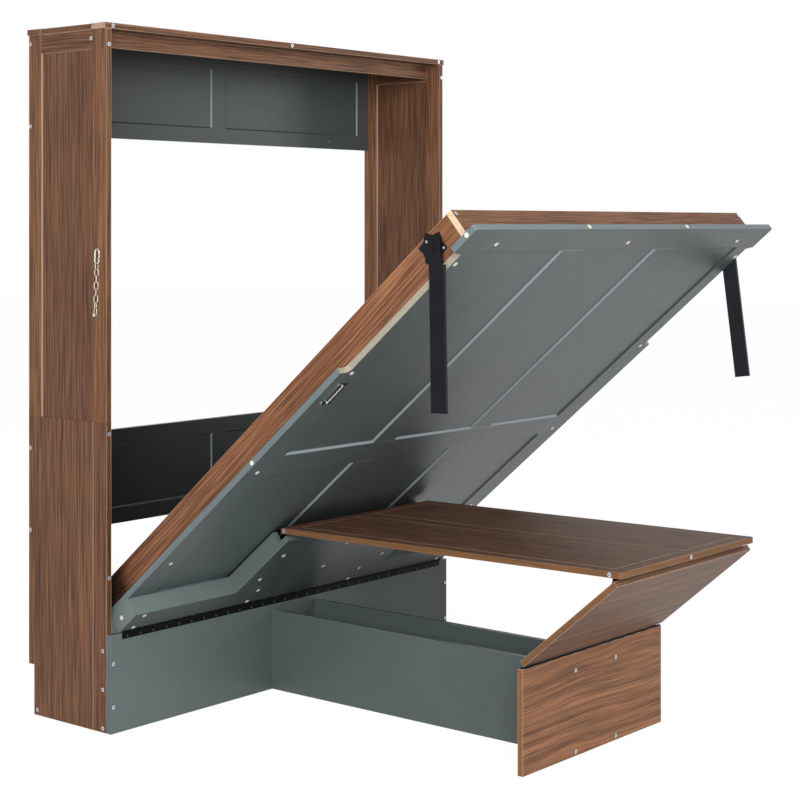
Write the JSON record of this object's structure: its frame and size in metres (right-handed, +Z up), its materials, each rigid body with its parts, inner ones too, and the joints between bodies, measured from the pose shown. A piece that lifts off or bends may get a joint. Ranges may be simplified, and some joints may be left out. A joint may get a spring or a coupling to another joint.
{
  "type": "wall bed with fold-down desk",
  "caption": "Wall bed in a walnut cabinet with a tilting bed panel, fold-down legs and a desktop that swings under the bed on a hinged prop panel.",
  "frame": {"origin": "middle of the underside of the front rail, on the floor, in the middle of the rail's width and thickness", "axes": "+X to the right as seen from the front, +Y towards the wall, +Z up; the bed opens towards -Y"},
  "size_m": [1.7263, 1.9886, 2.24],
  "materials": {
    "walnut_board": "walnut grain board, satin",
    "grey_lacquer": "slate grey-green satin lacquer on board",
    "plain_wood": "plain softwood",
    "black_steel": "black powder coat",
    "zinc_steel": "zinc plated",
    "brushed_nickel": "brushed nickel",
    "white_cap": "matt white plastic"
  },
  "bodies": {
    "cabinet": {"left_side_panel": "walnut_board", "right_side_panel": "walnut_board", "top_panel": "walnut_board", "valance_rail": "walnut_board", "upper_back_panel": "grey_lacquer", "lower_back_panel": "grey_lacquer", "front_rail": "grey_lacquer", "left_corner_cleat": "grey_lacquer", "right_corner_cleat": "grey_lacquer", "left_stretcher": "grey_lacquer", "right_stretcher": "grey_lacquer", "end_panel": "walnut_board", "bed_hinge_rail_leaf": "black_steel", "prop_hinge_end_leaf": "black_steel", "cabinet_bolts": "zinc_steel", "base_bolts": "zinc_steel", "chain_eye": "zinc_steel", "safety_chain": "zinc_steel", "snap_hook": "zinc_steel", "chain_anchor": "zinc_steel"},
    "hook_gate": {"hook_gate": "zinc_steel"},
    "bed": {"underside_panel": "grey_lacquer", "left_bed_rail": "walnut_board", "right_bed_rail": "walnut_board", "head_rail": "walnut_board", "foot_rail": "walnut_board", "cross_batten_1": "plain_wood", "cross_batten_2": "plain_wood", "cross_batten_3": "plain_wood", "box_strip_board": "grey_lacquer", "box_stem_board": "grey_lacquer", "box_left_end": "grey_lacquer", "box_right_end": "grey_lacquer", "box_left_edge": "grey_lacquer", "box_right_edge": "grey_lacquer", "stem_left_edge": "grey_lacquer", "stem_right_edge": "grey_lacquer", "box_foot_board": "grey_lacquer", "bed_hinge_box_leaf": "black_steel", "desk_hinge_box_leaf": "black_steel", "left_leg_bracket": "black_steel", "right_leg_bracket": "black_steel", "pull_handle": "brushed_nickel", "cover_caps": "white_cap", "bed_bolts": "zinc_steel"},
    "desk": {"desk_left_stile": "walnut_board", "desk_right_stile": "walnut_board", "desk_outer_rail": "walnut_board", "desk_inner_rail": "walnut_board", "desk_centre_stile": "walnut_board", "desk_left_field": "walnut_board", "desk_right_field": "walnut_board", "desk_hinge_desk_leaf": "black_steel", "nose_hinge_desk_leaf": "black_steel", "desk_bolts": "zinc_steel"},
    "prop": {"prop_panel": "walnut_board", "prop_hinge_prop_leaf": "black_steel", "nose_hinge_prop_leaf": "black_steel"},
    "left_leg": {"left_leg": "black_steel"},
    "right_leg": {"right_leg": "black_steel"}
  },
  "joints": [
    {"name": "bed_swing", "type": "hinge", "parent": "cabinet", "child": "bed", "pos_m": [0, -0.0125, 0.312], "axis": [-1, 0, 0], "range_deg": [-40.2, 49.8]},
    {"name": "desk_fold", "type": "hinge", "parent": "bed", "child": "desk", "pos_m": [0, -0.31072, 0.5974], "axis": [-1, 0, 0], "range_deg": [-49.8, 40.2]},
    {"name": "prop_fold", "type": "hinge", "parent": "cabinet", "child": "prop", "pos_m": [0, -1.262, 0.315], "axis": [-1, 0, 0], "range_deg": [-40.2, 49.8]},
    {"name": "left_leg_fold", "type": "hinge", "parent": "bed", "child": "left_leg", "pos_m": [-0.791, -1.25196, 1.53486], "axis": [1, 0, 0], "range_deg": [-43, 50.8]},
    {"name": "right_leg_fold", "type": "hinge", "parent": "bed", "child": "right_leg", "pos_m": [0.791, -1.24432, 1.52841], "axis": [1, 0, 0], "range_deg": [-36.5, 57.3]},
    {"name": "gate_swing", "type": "hinge", "parent": "cabinet", "child": "hook_gate", "pos_m": [-0.86, 0.0371, 1.49461], "axis": [-1, 0, 0], "range_deg": [0, 25], "stiffness_Nm_per_rad": 0.01}
  ],
  "couplings": [
    {"joint": "desk_fold", "follows": "bed_swing", "ratio": -1},
    {"joint": "prop_fold", "follows": "bed_swing", "ratio": 1}
  ]
}
